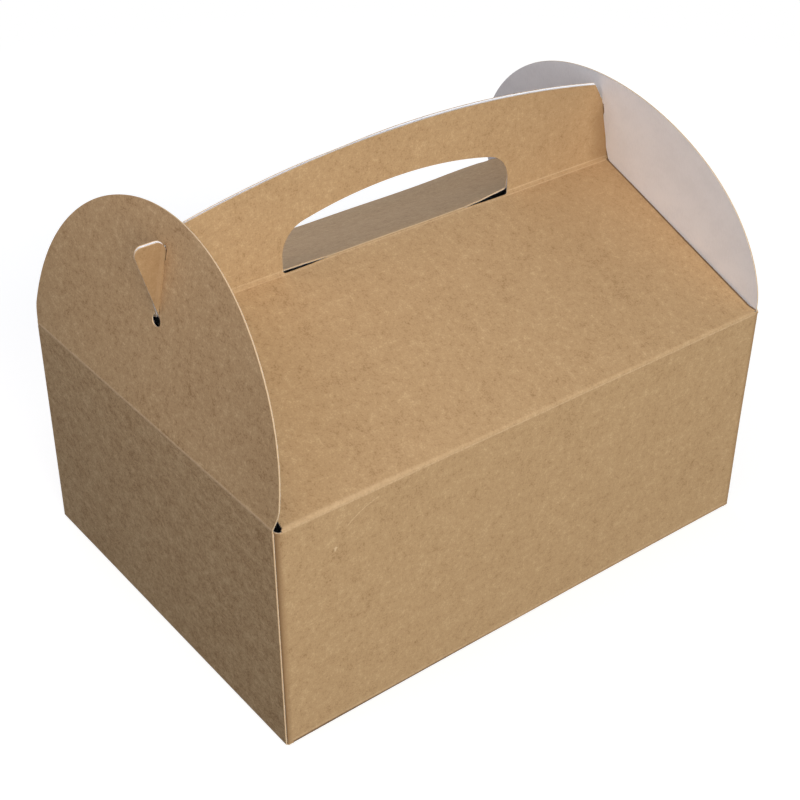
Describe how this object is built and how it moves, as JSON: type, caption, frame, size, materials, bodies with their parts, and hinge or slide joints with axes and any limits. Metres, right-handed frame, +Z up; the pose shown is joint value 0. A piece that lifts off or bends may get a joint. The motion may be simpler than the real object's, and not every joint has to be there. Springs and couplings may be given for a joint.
{
  "type": "cardboard box with handle",
  "caption": "Folded kraft gable box with arched end flaps, sloping roof panels and a double handle panel with a hand hole, for carrying food or small goods.",
  "frame": {"origin": "Middle of the base's underside, on the surface the box stands on.", "axes": "+Z up; X along the box's length and the handle, +X to the right seen from the front; the front long wall faces -Y."},
  "size_m": [0.2232, 0.1608, 0.1688],
  "materials": {
    "kraft_board": "matt kraft outside, white inside"
  },
  "bodies": {
    "carton": {"carton": "kraft_board"},
    "left_flap": {"left_end_flap": "kraft_board"},
    "right_flap": {"right_end_flap": "kraft_board"}
  },
  "joints": [
    {"name": "left_flap_crease", "type": "hinge", "parent": "carton", "child": "left_flap", "pos_m": [-0.11, 0, 0.092], "axis": [0, -1, 0], "range_deg": [0, 120]},
    {"name": "right_flap_crease", "type": "hinge", "parent": "carton", "child": "right_flap", "pos_m": [0.11, 0, 0.092], "axis": [0, 1, 0], "range_deg": [0, 120]}
  ]
}
